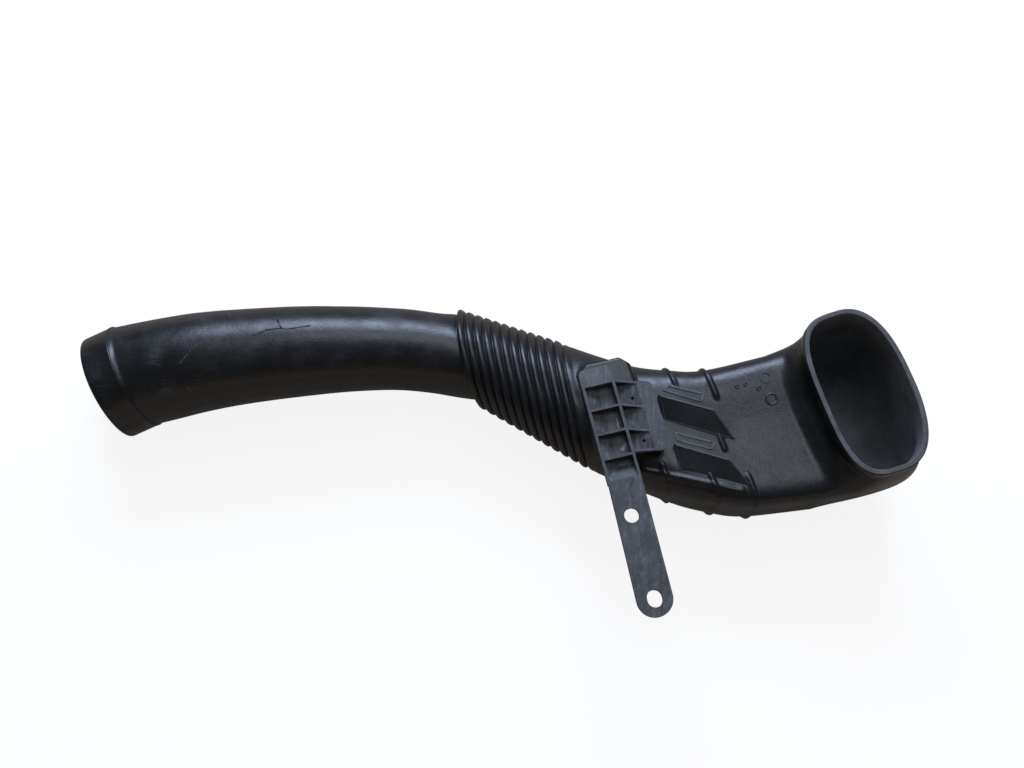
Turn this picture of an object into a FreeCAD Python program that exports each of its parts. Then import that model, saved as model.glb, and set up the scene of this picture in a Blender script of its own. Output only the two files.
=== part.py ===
import FreeCAD, Part
import math
import os
from collections import namedtuple
from FreeCAD import Vector

# Air intake duct lying on its flat belly, with a moulded mounting bracket welded on a platform on its back.
# Millimetres. While it is built, X runs from the round cuff to the mouth, Z is up and the table is at Z 0.

# The duct's blown wall
wall = 2.5
section_points = 16
tube_steps = 9

# Round cuff at the free end, where a hose or a filter box joins
cuff_radius = 40.3
cuff_length = 21.7
cuff_step = 0.7
cuff_yaw = 23.0
cuff_pitch = 8.0
cuff_x = -300.9
cuff_y = -2.7

# Tapering tube: places on its middle line, with the yaw and pitch of its run and its radius
tube_path = [
    (-233.0, 14.0, 47.0, 9.5, 4.0, 37.3),
    (-196.0, 18.6, 48.5, 6.0, 1.5, 35.5),
    (-158.5, 22.0, 48.8, 4.3, -0.5, 33.9),
    (-121.0, 24.3, 48.0, 2.0, -2.0, 32.1),
    (-84.0, 24.6, 46.0, -2.5, -3.0, 30.8),
    (-54.0, 22.0, 43.6, -5.0, -1.0, 30.4),
]

# Bellows: parallel ridges whose planes lean against the run of the duct
ridge_count = 13
ridge_height = 3.0
first_ridge_half_width = 38.6
last_ridge_half_width = 48.8
first_ridge_half_height = 37.2
last_ridge_half_height = 36.6
last_ridge_drop = 1.2
tube_joint_drop = 5.2
body_joint_drop = 1.4
shoulder_place = 0.27
shoulder_drop = 0.1
ridge_yaw = 10.0
ridge_pitch = 10.0
first_ridge_at = Vector(-29.6, 18.3, 41.0)
ridge_step = Vector(6.68, -3.1, -0.13)

# Flat body: places of its three beads and of the elbow's start, with half widths and squareness
body_yaw = 18.0
body_half_height = 37.5
first_bead_at = Vector(99.0, -38.0, 38.0)
second_bead_at = Vector(128.5, -45.0, body_half_height)
third_bead_at = Vector(155.0, -47.0, body_half_height)
elbow_at = Vector(201.4, -39.3, body_half_height)
body_half_widths = [51.5, 53.6, 54.2, 57.0]
body_powers = [2.8, 3.5, 4.2, 4.4]
belly_powers = [2.7, 3.0, 3.2]
first_bead_yaw = 15.0
first_bead_pitch = 3.0
first_bead_half_height = 36.8
bead_height = 2.0
bead_half_width = 2.6

# Elbow and mouth
elbow_inner_radius = 14.0
elbow_squareness = 5.0
elbow_turns = [18.0, 36.0, 54.0, 72.0, 90.0]
elbow_outer_power = 3.0
elbow_corner_power = 2.4
elbow_bulge = 2.3
elbow_lateness = 1.6
mouth_lean = 1.5
neck_half_width = 59.0
neck_half_length = 32.4
lip_proud = 1.5
lip_depth = 10.0
lip_height = 103.0
mouth_inner_power = 3.2
mouth_outer_power = 2.5

# Wedge pads on the body's back: outlines that start with the high far edge
pad_sunk = 9.0
upper_pad = [(104.0, -20.5), (143.0, -31.5), (158.0, -51.5), (147.0, -49.0), (108.0, -37.5)]
upper_pad_far_height = 81.0
upper_pad_near_height = 74.0
upper_pad_span = 17.5
lower_pad = [(114.0, -56.0), (152.0, -67.3), (171.0, -90.0), (161.0, -86.0), (118.0, -75.5)]
lower_pad_far_height = 79.5
lower_pad_near_height = 72.4
lower_pad_span = 19.0

# Bare raised frames above the pads, and the bar along the body's near shoulder
frame_rise = 0.7
frame_rim = 1.0
frame_corners = [
    [(111.5, -10.8, 71.7), (137.8, -17.8, 73.8), (135.5, -24.5, 74.6), (108.2, -15.8, 73.2)],
    [(115.2, -46.0, 75.0), (143.5, -53.3, 75.0), (141.4, -59.4, 74.8), (117.1, -52.9, 74.8)],
]
bar_radius = 3.0
bar_sunk = 1.8
bar_places = [Vector(92.9, -73.9, 64.1), Vector(125.4, -81.9, 67.8), Vector(160.9, -89.2, 69.5)]

# Mounting bracket, measured along its strap from the head, across it and down from the tops of its ribs
bracket_yaw = 13.7
bracket_top = 86.0
bracket_at = Vector(55.7, -3.3, bracket_top)
plate_thickness = 3.2
rail_thickness = 2.0
rib_thickness = 1.7
left_rail_at = -8.8
middle_rail_at = 13.2
trough_depth = 8.0
floor_thickness = 2.2
head_length = 13.0
head_corner = 4.0
rib_pitch = 18.0
rib_skew = 5.5
trough_end = 84.0
ramp_length = 12.0
keel_from = 2.0
keel_to = 11.0
flange_flat_from = 29.0
flange_edge = 39.3
flange_from = 16.0
flange_to = 68.0
flange_corner = 6.0
flange_skew = 3.0
end_wall_skew = 2.4
flange_overlap = 0.5
strap_thickness = 4.0
strap_start_left = -9.4
strap_start_right = 14.2
strap_middle = 0.4
strap_end_radius = 12.4
strap_overlap = 2.0
hole_radius = 5.2
upper_hole_at = 108.0
lower_hole_at = 165.8
slot_travel = 1.4
pin_hole_radius = 1.1
pin_holes_at = [(27.4, 23.4), (59.0, 23.2)]
cut_margin = 1.0

# Raised weld platform under the bracket's keel
seat_from = -8.0
seat_to = 62.0
seat_left = -8.0
seat_right = 31.0
seat_corner = 14.0

sewing_tolerance = 1e-4
round_margin = 1e-6

Station = namedtuple("Station", "at yaw pitch half_width half_height top_power bottom_power")


def directions(yaw, pitch):
    """Run, across and upward directions of a section turned by yaw about Z and tipped up by pitch."""
    yaw = math.radians(yaw)
    pitch = math.radians(pitch)
    run = Vector(math.cos(pitch) * math.cos(yaw), math.cos(pitch) * math.sin(yaw), math.sin(pitch))
    across = Vector(-math.sin(yaw), math.cos(yaw), 0)
    return run, across, run.cross(across)


def section(station, grown=0.0, ahead=0.0):
    """Closed outline of a station, grown outward and moved ahead along the run."""
    run, across, upward = directions(station.yaw, station.pitch)
    centre = station.at + run * ahead
    half_width = station.half_width + grown
    half_height = station.half_height + grown
    is_oval = station.top_power == 2 and station.bottom_power == 2
    if is_oval and half_width >= half_height:
        half_height = min(half_height, half_width - round_margin)
        oval = Part.Ellipse(centre + across * half_width, centre + upward * half_height, centre)
        return Part.Wire([oval.toShape()])
    points = []
    for step in range(section_points):
        turn = 2 * math.pi * step / section_points
        power = station.top_power if math.sin(turn) >= 0 else station.bottom_power
        reach = (abs(math.cos(turn)) ** power + abs(math.sin(turn)) ** power) ** (-1 / power)
        sideways = across * (half_width * reach * math.cos(turn))
        rise = upward * (half_height * reach * math.sin(turn))
        points.append(centre + sideways + rise)
    evenly = [step / section_points for step in range(section_points + 1)]
    curve = Part.BSplineCurve()
    curve.interpolate(Points=points, PeriodicFlag=True, Parameters=evenly)
    return Part.Wire([curve.toShape()])


def air_section(station):
    """Outline of the air path at a station."""
    return section(station, -wall)


def between(first, second, share):
    """Station part of the way from one station to the next."""
    at = first.at + (second.at - first.at) * share
    rest = [a + (b - a) * share for a, b in zip(first[1:], second[1:])]
    return Station(at, *rest)


def smooth(stations, place):
    """Station on a smooth run through others, at a place counted in stations."""
    last = len(stations) - 1
    number = min(int(place), last - 1)
    share = place - number
    before, first, second, after = [stations[min(max(number + n, 0), last)] for n in (-1, 0, 1, 2)]

    def blended(a, b, c, d):
        bend = (a * 2 - b * 5 + c * 4 - d) * share ** 2 + (b * 3 - a - c * 3 + d) * share ** 3
        return b + ((c - a) * share + bend) * 0.5

    return Station(*[blended(*values) for values in zip(before, first, second, after)])


def run_of(stations, start, end, count):
    """Evenly spaced stations on a smooth run from one place to another."""
    return [smooth(stations, start + (end - start) * n / (count - 1)) for n in range(count)]


def round_station(x, y, z, yaw, pitch, radius):
    """Circular station."""
    return Station(Vector(x, y, z), yaw, pitch, radius, radius, 2.0, 2.0)


def ridge_station(number, grown):
    """Station of the bellows by ridge number, with halves for the valleys."""
    share = (number - 1) / (ridge_count - 2)
    half_width = first_ridge_half_width + (last_ridge_half_width - first_ridge_half_width) * share
    half_height = first_ridge_half_height + (last_ridge_half_height - first_ridge_half_height) * share
    at = first_ridge_at + ridge_step * (number - 1)
    return Station(at, ridge_yaw, ridge_pitch, half_width + grown, half_height + grown, 2.0, 2.0)


def elbow_station(turn):
    """Section of the elbow, fanned about its inner corner and bulging on its near side."""
    share = turn / 90
    fullness = math.sin(math.pi * share ** elbow_lateness)
    below = math.cos(math.radians(turn)) / (elbow_inner_radius + 2 * body_half_height)
    beyond = math.sin(math.radians(turn)) / (elbow_inner_radius + 2 * neck_half_length)
    reach = (below ** elbow_squareness + beyond ** elbow_squareness) ** (-1 / elbow_squareness)
    half_height = (reach - elbow_inner_radius) / 2
    start_half_width = body_half_widths[-1]
    half_width = start_half_width + (neck_half_width - start_half_width) * share + elbow_bulge * fullness
    power = elbow_outer_power + (mouth_outer_power - elbow_outer_power) * share
    power += elbow_corner_power * fullness
    _, across, upward = directions(body_yaw, turn)
    pivot = elbow_at + Vector(0, 0, body_half_height + elbow_inner_radius)
    sideways = across * (mouth_lean * share - elbow_bulge * fullness)
    at = pivot - upward * (elbow_inner_radius + half_height) + sideways
    inner_power = body_powers[-1] + (mouth_inner_power - body_powers[-1]) * share
    return Station(at, body_yaw, turn, half_width, half_height, inner_power, power)


def shoulder(valley, crest):
    """Rounded shoulder of a ridge, close under its crest."""
    place = between(valley, crest, 2 * shoulder_place)
    half_width = crest.half_width - shoulder_drop
    return place._replace(half_width=half_width, half_height=crest.half_height - shoulder_drop)


def loft(outlines):
    """Side faces between outlines in turn, without end caps."""
    edges = [outline.Edges[0] for outline in outlines]
    return [Part.makeRuledSurface(first, second, 1) for first, second in zip(edges, edges[1:])]


def flat_ring(outline, hole):
    """Flat ring between two outlines in one plane."""
    return Part.makeFace([outline, hole], "Part::FaceMakerBullseye")


def sewn(faces):
    """Solid closed by faces that share their edges."""
    shell = Part.Compound(faces)
    shell.sewShape(sewing_tolerance)
    closed = Part.Solid(shell.Shells[0])
    closed.fix(sewing_tolerance, sewing_tolerance, sewing_tolerance)
    return closed


def polygon(points):
    """Flat face with straight sides."""
    return Part.Face(Part.makePolygon(points + points[:1]))


# Stations of the cuff and the tube
cuff_height = cuff_radius * math.cos(math.radians(cuff_pitch)) - bead_height
cuff_end = round_station(cuff_x, cuff_y, cuff_height, cuff_yaw, cuff_pitch, cuff_radius)
cuff_run = directions(cuff_yaw, cuff_pitch)[0]
tube_radius = cuff_radius - cuff_step
cuff_inner_end = cuff_end.at + cuff_run * cuff_length
cuff_shoulder = cuff_end._replace(at=cuff_inner_end, half_width=tube_radius, half_height=tube_radius)
tube_end = ridge_station(0.5, -tube_joint_drop)
tube_run = [cuff_shoulder] + [round_station(*place) for place in tube_path] + [tube_end]
tube_places = run_of(tube_run, 0, len(tube_run) - 1, tube_steps)

# Stations of the bellows
valleys = [tube_end]
valleys += [ridge_station(number + 0.5, -ridge_height) for number in range(1, ridge_count)]
valleys += [ridge_station(ridge_count + 0.5, -body_joint_drop)]
crests = [ridge_station(number, 0.0) for number in range(1, ridge_count)]
crests += [ridge_station(ridge_count, -last_ridge_drop)]

# Stations of the body, the elbow and the mouth
body_places = [first_bead_at, second_bead_at, third_bead_at, elbow_at]
body_yaws = [first_bead_yaw, body_yaw, body_yaw, body_yaw]
body_pitches = [first_bead_pitch, 0.0, 0.0, 0.0]
body_half_heights = [first_bead_half_height, body_half_height, body_half_height, body_half_height]
bottom_powers = belly_powers + [elbow_outer_power]
body_columns = [body_places, body_yaws, body_pitches, body_half_widths, body_half_heights]
body_columns += [body_powers, bottom_powers]
body = [valleys[-1]] + [Station(*values) for values in zip(*body_columns)]
elbow = [elbow_station(turn) for turn in elbow_turns]
neck = elbow[-1]
mouth = neck._replace(at=Vector(neck.at.x, neck.at.y, lip_height))
collar_foot = mouth._replace(at=mouth.at - Vector(0, 0, lip_depth))

# Tube, from the small step at the cuff's inner end
outside = loft([section(station) for station in tube_places])
inside = loft([air_section(station) for station in [cuff_end] + tube_places])

# Bellows, ridge by ridge
for number in range(ridge_count):
    rise = shoulder(valleys[number], crests[number])
    fall = shoulder(valleys[number + 1], crests[number])
    outside += loft([section(s) for s in (valleys[number], rise, fall, valleys[number + 1])])
    inside += loft([air_section(s) for s in (valleys[number], crests[number], valleys[number + 1])])

# Body with its three beads, then the elbow up to the mouth's collar
outlines = [section(body[0])]
for number in (1, 2, 3):
    foot = section(body[number], 0, -bead_half_width)
    toe = section(body[number], 0, bead_half_width)
    outside += loft(outlines + [section(smooth(body, number - 0.5)), foot])
    outside += loft([foot, section(body[number], bead_height), toe])
    outlines = [toe]
outlines += [section(station) for station in run_of(body, 3.5, 4, 2) + elbow + [collar_foot]]
outside += loft(outlines)
outside.append(flat_ring(section(collar_foot, lip_proud), section(collar_foot)))
outside += loft([section(collar_foot, lip_proud), section(mouth, lip_proud)])
inside += loft([air_section(station) for station in run_of(body, 0, 4, 9) + elbow + [mouth]])

cuff = Part.makeCylinder(cuff_radius, cuff_length, cuff_end.at, cuff_run)
filled = sewn(outside + [Part.Face(section(cuff_shoulder)), Part.Face(section(mouth, lip_proud))]).fuse(cuff)
air = sewn(inside + [Part.Face(air_section(cuff_end)), Part.Face(air_section(mouth))])


def upright_block(upper, low):
    """Block with upright sides below a flat face given by its corners."""
    lower = [Vector(point.x, point.y, low) for point in upper]
    faces = [polygon(upper), polygon(lower)]
    for number in range(len(upper)):
        faces.append(polygon([lower[number - 1], lower[number], upper[number], upper[number - 1]]))
    return Part.Solid(Part.Shell(faces))


def wedge_pad(corners, far_height, near_height, span):
    """Block whose top slopes from its far edge, the first two corners, to its near side."""
    start = Vector(*corners[0], 0)
    along = (Vector(*corners[1], 0) - start).normalize()
    slope = (near_height - far_height) / span
    upper = []
    for x, y in corners:
        away = (x - start.x) * along.y - (y - start.y) * along.x
        upper.append(Vector(x, y, far_height + slope * away))
    return upright_block(upper, near_height - pad_sunk)


def raised_frame(corners):
    """Narrow rim that stands up from the skin along four corners on it."""
    first, second, _, fourth = [Vector(*corner) for corner in corners]
    normal = (second - first).cross(fourth - first)
    upper = []
    for x, y, _ in corners:
        z = first.z - (normal.x * (x - first.x) + normal.y * (y - first.y)) / normal.z
        upper.append(Vector(x, y, z + frame_rise))
    middle = sum(upper, Vector()) / len(upper)
    narrow = min((upper[number] - upper[number - 1]).Length for number in range(len(upper)))
    long_side = max((upper[number] - upper[number - 1]).Length for number in range(len(upper)))
    along = (upper[1] - upper[0]).normalize()
    inner = []
    for point in upper:
        offset = point - middle
        lengthwise = along * offset.dot(along)
        sideways = offset - lengthwise
        shorter = lengthwise * (1 - 2 * frame_rim / long_side)
        slimmer = sideways * (1 - 2 * frame_rim / narrow)
        inner.append(middle + shorter + slimmer)
    low = min(point.z for point in upper) - pad_sunk
    above = [point + Vector(0, 0, cut_margin) for point in inner]
    return upright_block(upper, low).cut(upright_block(above, low - cut_margin))


pads = [
    wedge_pad(upper_pad, upper_pad_far_height, upper_pad_near_height, upper_pad_span),
    wedge_pad(lower_pad, lower_pad_far_height, lower_pad_near_height, lower_pad_span),
]
frames = [raised_frame(corners) for corners in frame_corners]
bar_line = [place - Vector(0, 0, bar_sunk) for place in bar_places]
bars = []
for start, end in zip(bar_line, bar_line[1:]):
    bars.append(Part.makeCylinder(bar_radius, (end - start).Length, start, end - start))


def bracket_point(along, across, drop=0.0):
    """Place on the bracket, in the build's own frame."""
    turn = math.radians(bracket_yaw)
    strap_run = Vector(math.sin(turn), -math.cos(turn), 0)
    strap_side = Vector(math.cos(turn), math.sin(turn), 0)
    return bracket_at + strap_run * along + strap_side * across - Vector(0, 0, drop)


def bracket_block(corners, top, bottom):
    """Block over an outline of (along, across) places on the bracket, from one depth to another."""
    points = [bracket_point(along, across, bottom) for along, across in corners]
    return polygon(points).extrude(Vector(0, 0, bottom - top))


def strip(start, end, left, right, top, bottom):
    """Straight block from one place along the bracket to another."""
    return bracket_block([(start, left), (end, left), (end, right), (start, right)], top, bottom)


def bracket_rod(along, across, radius, top, bottom):
    """Upright round bar at a place on the bracket."""
    return Part.makeCylinder(radius, bottom - top, bracket_point(along, across, bottom), Vector(0, 0, 1))


def trough_profile(places, start, end):
    """Bar along the bracket with a section of (across, drop) places."""
    points = [bracket_point(start, across, drop) for across, drop in places]
    return polygon(points).extrude(bracket_point(end, 0) - bracket_point(start, 0))


def rounded(block, places, radius):
    """Block with its upright edges rounded at the given (along, across) places."""
    edges = []
    for edge in block.Edges:
        is_upright = edge.BoundBox.ZLength > cut_margin
        middle = edge.CenterOfMass
        for along, across in places:
            corner = bracket_point(along, across)
            is_near = math.hypot(middle.x - corner.x, middle.y - corner.y) < sewing_tolerance
            if is_upright and is_near:
                edges.append(edge)
    return block.makeFillet(radius, edges)


keel_bottom = trough_depth + floor_thickness
half_rail = rail_thickness / 2
left_edge = left_rail_at - half_rail
right_edge = middle_rail_at + half_rail
below_keel = keel_bottom + cut_margin
below_strap = strap_thickness + cut_margin

# V-shaped trough and everything above its underside
underside = [
    (left_edge, plate_thickness + floor_thickness),
    (keel_from, keel_bottom),
    (keel_to, keel_bottom),
    (flange_flat_from, plate_thickness),
]
floor_top = [
    (flange_flat_from, 0),
    (keel_to, trough_depth),
    (keel_from, trough_depth),
    (left_edge, plate_thickness),
]
floor = trough_profile(underside + floor_top, head_length, trough_end)
envelope = trough_profile(underside + [(flange_flat_from, 0), (left_edge, 0)], 0, trough_end)

# Head plate, rails and weld flange
head = strip(0, head_length, left_edge, right_edge, 0, plate_thickness)
head = rounded(head, [(0, left_edge), (0, right_edge)], head_corner)
left_rail = strip(head_corner, trough_end, left_edge, left_edge + rail_thickness, 0, keel_bottom)
middle_rail = strip(head_corner, trough_end, right_edge - rail_thickness, right_edge, 0, keel_bottom)
flange_start = flange_flat_from - flange_overlap
flange_tips = [(flange_to + flange_skew, flange_edge), (flange_from + flange_skew, flange_edge)]
flange_corners = [(flange_from, flange_start), (flange_to, flange_start)] + flange_tips
flange = rounded(bracket_block(flange_corners, 0, plate_thickness), flange_tips, flange_corner)
floor_end = [
    (flange_to - end_wall_skew, right_edge),
    (flange_to, flange_flat_from),
    (flange_to, flange_edge),
    (trough_end, flange_edge),
    (trough_end, right_edge),
]
floor_cut = bracket_block(floor_end, -cut_margin, below_keel)
first_rib = head_length - rib_thickness
front_corners = [
    (0, right_edge),
    (first_rib, right_edge),
    (first_rib + rib_skew, flange_flat_from),
    (flange_from, flange_edge + cut_margin),
    (0, flange_edge + cut_margin),
]
front_cut = bracket_block(front_corners, -cut_margin, below_keel)

# Cross ribs, straight in the left trough and skewed in the right one
ribs = []
for number in range(4):
    start = head_length + rib_pitch * number
    ribs.append(strip(start - rib_thickness, start, left_edge, right_edge, 0, keel_bottom))
inner_side = right_edge - half_rail
for number in range(3):
    start = head_length + rib_pitch * number
    rib_corners = [
        (start - rib_thickness, inner_side),
        (start, inner_side),
        (start + rib_skew, flange_flat_from),
        (start + rib_skew - rib_thickness, flange_flat_from),
    ]
    ribs.append(bracket_block(rib_corners, 0, keel_bottom))
wall_start = flange_to - end_wall_skew
end_corners = [
    (wall_start - rib_thickness, inner_side),
    (wall_start, inner_side),
    (flange_to, flange_flat_from),
    (flange_to - rib_thickness, flange_flat_from),
]
end_wall = bracket_block(end_corners, 0, keel_bottom)

# Ramp from the trough's floor up to the strap
ramp_start = trough_end - ramp_length
ramp_places = [
    (ramp_start, trough_depth),
    (trough_end, 0),
    (trough_end, keel_bottom),
    (ramp_start, keel_bottom),
]
ramp_points = [bracket_point(along, left_edge, drop) for along, drop in ramp_places]
ramp = polygon(ramp_points).extrude(bracket_point(0, right_edge) - bracket_point(0, left_edge))

# Strap with its rounded end
strap_start = trough_end - strap_overlap
strap_corners = [
    (strap_start, strap_start_left),
    (lower_hole_at, strap_middle - strap_end_radius),
    (lower_hole_at, strap_middle + strap_end_radius),
    (strap_start, strap_start_right),
]
strap = bracket_block(strap_corners, 0, strap_thickness)
strap_end = bracket_rod(lower_hole_at, strap_middle, strap_end_radius, 0, strap_thickness)

walls = [shape.common(envelope) for shape in [left_rail, middle_rail, end_wall, ramp] + ribs]
bracket = floor.cut(floor_cut).cut(front_cut)
for piece in [head, flange] + walls + [strap, strap_end]:
    bracket = bracket.fuse(piece)

# Round hole, slot and the two locating holes
slot_start = lower_hole_at - slot_travel / 2
slot_end = lower_hole_at + slot_travel / 2
holes = [bracket_rod(upper_hole_at, strap_middle, hole_radius, -cut_margin, below_strap)]
holes.append(bracket_rod(slot_start, strap_middle, hole_radius, -cut_margin, below_strap))
holes.append(bracket_rod(slot_end, strap_middle, hole_radius, -cut_margin, below_strap))
slot_left = strap_middle - hole_radius
slot_right = strap_middle + hole_radius
holes.append(strip(slot_start, slot_end, slot_left, slot_right, -cut_margin, below_strap))
for along, across in pin_holes_at:
    holes.append(bracket_rod(along, across, pin_hole_radius, -cut_margin, below_keel))
for hole in holes:
    bracket = bracket.cut(hole)
bracket = bracket.removeSplitter()

# Everything that stands on the duct's back, hollowed with the rest by the air path
seat = strip(seat_from, seat_to, seat_left, seat_right, keel_bottom, keel_bottom + body_half_height)
seat = rounded(seat, [(seat_from, seat_left), (seat_from, seat_right)], seat_corner)
for feature in pads + frames + bars + [seat]:
    filled = filled.fuse(feature)
duct = filled.cut(air)

# Origin under the middle of the whole part's box
box = duct.optimalBoundingBox(False, False)
box.add(bracket.optimalBoundingBox(False, False))
origin = Vector(-(box.XMin + box.XMax) / 2, -(box.YMin + box.YMax) / 2, -box.ZMin)
duct.translate(origin)
bracket.translate(origin)

os.makedirs("parts", exist_ok=True)
duct.exportStep("parts/duct.step")
bracket.exportStep("parts/mounting_bracket.step")
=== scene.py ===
"""Dresses an air intake duct: a blown charcoal wall with bellows, and a ribbed grey bracket on its back."""
import logging
import math
from dataclasses import astuple, dataclass, replace
from enum import Enum
from functools import reduce
from typing import Any, Iterable, Optional, Sequence, Union

import bmesh
import bpy
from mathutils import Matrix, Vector, noise
from mathutils.bvhtree import BVHTree


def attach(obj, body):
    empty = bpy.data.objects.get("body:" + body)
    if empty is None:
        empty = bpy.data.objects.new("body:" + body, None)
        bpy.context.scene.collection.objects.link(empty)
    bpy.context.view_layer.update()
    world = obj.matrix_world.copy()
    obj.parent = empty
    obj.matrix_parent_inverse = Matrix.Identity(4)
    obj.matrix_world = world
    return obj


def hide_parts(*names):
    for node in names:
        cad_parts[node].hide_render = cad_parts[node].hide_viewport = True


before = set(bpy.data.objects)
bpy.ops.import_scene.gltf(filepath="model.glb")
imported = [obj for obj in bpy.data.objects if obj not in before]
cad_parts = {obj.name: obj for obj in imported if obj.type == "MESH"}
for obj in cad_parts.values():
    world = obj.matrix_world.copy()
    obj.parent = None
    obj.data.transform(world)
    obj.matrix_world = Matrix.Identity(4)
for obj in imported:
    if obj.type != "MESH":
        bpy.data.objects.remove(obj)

LOG = logging.getLogger("intake_duct")
MM = 0.001
BUILD_ORIGIN = Vector((14.4906, 59.8718, 2.0278))
RIM_MATERIAL = 1
RIGHT_ANGLE = 90.0
MIX_FIRST, MIX_SECOND, MIX_RESULT = 6, 7, 2

Point = tuple[float, float, float]
Plan = tuple[float, float]
Profile = tuple[Plan, ...]
Socket = bpy.types.NodeSocket
Piece = bpy.types.Object
Mesh = bmesh.types.BMesh
Term = Union["Value", float]


def placed(point: Sequence[float]) -> Vector:
    """A point of the duct's own build, in millimetres with the table at 0, as metres in the row frame."""
    return (Vector(point) + BUILD_ORIGIN) * MM


def smoothstep(low: float, high: float, value: float) -> float:
    """Gives 0 below low, 1 above high and an S-curve between them."""
    share = min(max((value - low) / (high - low), 0.0), 1.0)
    return share * share * (3.0 - 2.0 * share)


class Zone(Enum):
    """Part of the duct's wall, with the number of its material."""

    OUTSIDE = 0
    LIP = 1
    INSIDE = 2


# Shader tools


@dataclass(frozen=True)
class Value:
    """A number that varies over a surface; Python's operators add Math nodes."""

    book: "NodeBook"
    socket: Socket

    def __add__(self, other: Term) -> "Value":
        """Sum."""
        return self.book.math("ADD", self, other)

    __radd__ = __add__

    def __rsub__(self, other: float) -> "Value":
        """What a plain number leaves when this one is taken away."""
        return self.book.math("SUBTRACT", other, self)

    def __mul__(self, other: Term) -> "Value":
        """Product."""
        return self.book.math("MULTIPLY", self, other)

    def held(self) -> "Value":
        """The number held between 0 and 1."""
        return self.book.math("MULTIPLY", self, 1.0, clamp=True)

    def largest(self, other: Term) -> "Value":
        """The larger of two numbers."""
        return self.book.math("MAXIMUM", self, other)

    def step(self, low: float, high: float) -> "Value":
        """Gives 0 at low and 1 at high with an S-curve between them; low may be the larger.

        Args:
            low: Reading that gives 0.
            high: Reading that gives 1.

        Returns:
            A number from 0 to 1.
        """
        node = self.book.node(
            "ShaderNodeMapRange",
            {"interpolation_type": "SMOOTHSTEP", "clamp": True},
            {"Value": self, "From Min": low, "From Max": high},
        )
        return Value(self.book, node.outputs["Result"])


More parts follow.
